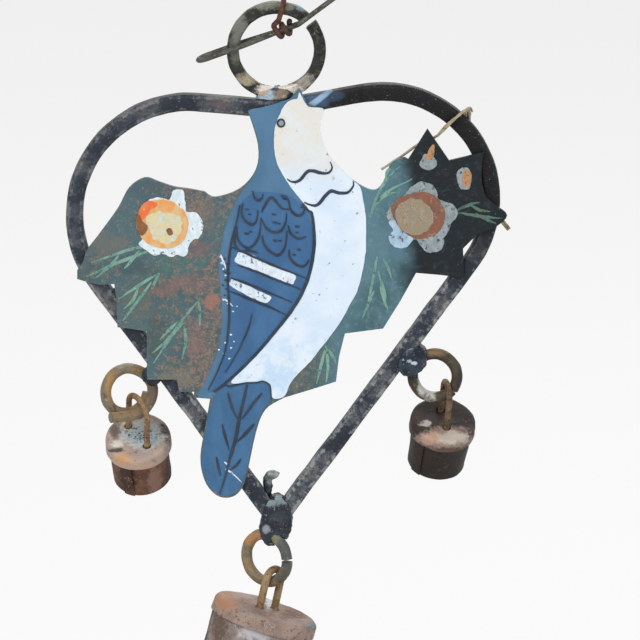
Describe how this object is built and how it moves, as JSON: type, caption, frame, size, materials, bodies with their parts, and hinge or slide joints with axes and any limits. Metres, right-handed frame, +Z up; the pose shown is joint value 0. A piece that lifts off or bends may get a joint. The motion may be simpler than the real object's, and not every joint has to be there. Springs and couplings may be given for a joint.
{
  "type": "hanging heart with bells",
  "caption": "Hanging iron heart frame with a painted cut-out bird panel and small tin bells swinging on wire bails from welded rings.",
  "frame": {"origin": "middle of the hanging eye in the binding wire", "axes": "+Z up, -Y out of the painted front, +X to the viewer's right"},
  "size_m": [0.1032, 0.033, 0.1841],
  "materials": {
    "black_iron": "worn blue-black paint on iron",
    "grey_iron": "dull grey-green iron",
    "ochre_iron": "ochre rust on iron wire",
    "rusty_wire": "brown rust",
    "painted_sheet": "hand painted, satin, slightly chipped",
    "cap_tin": "pinkish grey-brown patina",
    "shell_tin": "brown rust patina",
    "dark_tin": "very dark brown patina",
    "straw": "dry straw strand"
  },
  "bodies": {
    "hanger": {"binding_wire": "rusty_wire", "hairpin_wire_hook": "grey_iron"},
    "heart": {"top_ring": "grey_iron", "top_weld": "black_iron", "frame_bar_left": "black_iron", "frame_bar_right": "black_iron", "apex_weld": "black_iron", "bird_panel": "painted_sheet", "panel_tacks": "black_iron", "straw_strand": "straw", "left_ring": "ochre_iron", "right_ring": "ochre_iron", "bottom_ring": "ochre_iron", "left_ring_weld": "black_iron", "right_ring_weld": "black_iron"},
    "left_bail": {"left_bail": "rusty_wire"},
    "left_bell": {"left_cap": "cap_tin", "left_shell": "shell_tin", "left_clapper_loop": "rusty_wire"},
    "left_clapper": {"left_clapper_rod": "rusty_wire", "left_clapper_bob": "grey_iron"},
    "right_bail": {"right_bail": "rusty_wire"},
    "right_bell": {"right_cap": "dark_tin", "right_shell": "dark_tin", "right_clapper_loop": "rusty_wire"},
    "right_clapper": {"right_clapper_rod": "rusty_wire", "right_clapper_bob": "grey_iron"},
    "bottom_bail": {"bottom_bail": "rusty_wire"},
    "bottom_bell": {"bottom_cap": "cap_tin", "bottom_shell": "shell_tin", "bottom_clapper_loop": "rusty_wire"},
    "bottom_clapper": {"bottom_clapper_rod": "rusty_wire", "bottom_clapper_bob": "grey_iron"}
  },
  "joints": [
    {"name": "heart_swing", "type": "hinge", "parent": "hanger", "child": "heart", "pos_m": [-0.0017, 0, -0.01995], "axis": [0, 1, 0], "range_deg": [-12, 12]},
    {"name": "left_bail_swing", "type": "hinge", "parent": "heart", "child": "left_bail", "pos_m": [-0.03414, 0.00096, -0.10622], "axis": [0.8214, 0.383, 0.4226], "range_deg": [-43, 21]},
    {"name": "left_bell_rock", "type": "hinge", "parent": "left_bail", "child": "left_bell", "pos_m": [-0.03438, 0.00531, -0.11352], "axis": [-0.5553, 0.7061, 0.4394], "range_deg": [-7, 21]},
    {"name": "left_clapper_swing", "type": "hinge", "parent": "left_bell", "child": "left_clapper", "pos_m": [-0.03411, 0.00742, -0.11657], "axis": [0.8285, 0.4236, 0.3663], "range_deg": [-6, 58]},
    {"name": "right_bail_swing", "type": "hinge", "parent": "heart", "child": "right_bail", "pos_m": [0.03797, -0.00038, -0.10184], "axis": [0.8398, -0.118, 0.5299], "range_deg": [-88, 12]},
    {"name": "right_bell_rock", "type": "hinge", "parent": "right_bail", "child": "right_bell", "pos_m": [0.03735, 0.00403, -0.10908], "axis": [-0.2134, 0.8257, 0.5221], "range_deg": [-17, 11]},
    {"name": "right_clapper_swing", "type": "hinge", "parent": "right_bell", "child": "right_clapper", "pos_m": [0.03689, 0.00592, -0.11225], "axis": [0.9691, 0.2466, 0.0062], "range_deg": [-3, 61]},
    {"name": "bottom_bail_swing", "type": "hinge", "parent": "heart", "child": "bottom_bail", "pos_m": [-0.00262, -0.00096, -0.1468], "axis": [0.7976, -0.518, 0.309], "range_deg": [-36, 64]},
    {"name": "bottom_bell_rock", "type": "hinge", "parent": "bottom_bail", "child": "bottom_bell", "pos_m": [-0.00411, -0.00181, -0.15349], "axis": [0.5912, 0.773, -0.2301], "range_deg": [-20, 8]},
    {"name": "bottom_clapper_swing", "type": "hinge", "parent": "bottom_bell", "child": "bottom_clapper", "pos_m": [-0.0052, -0.00203, -0.15703], "axis": [0.7506, -0.6317, -0.1938], "range_deg": [-44, 20]}
  ]
}
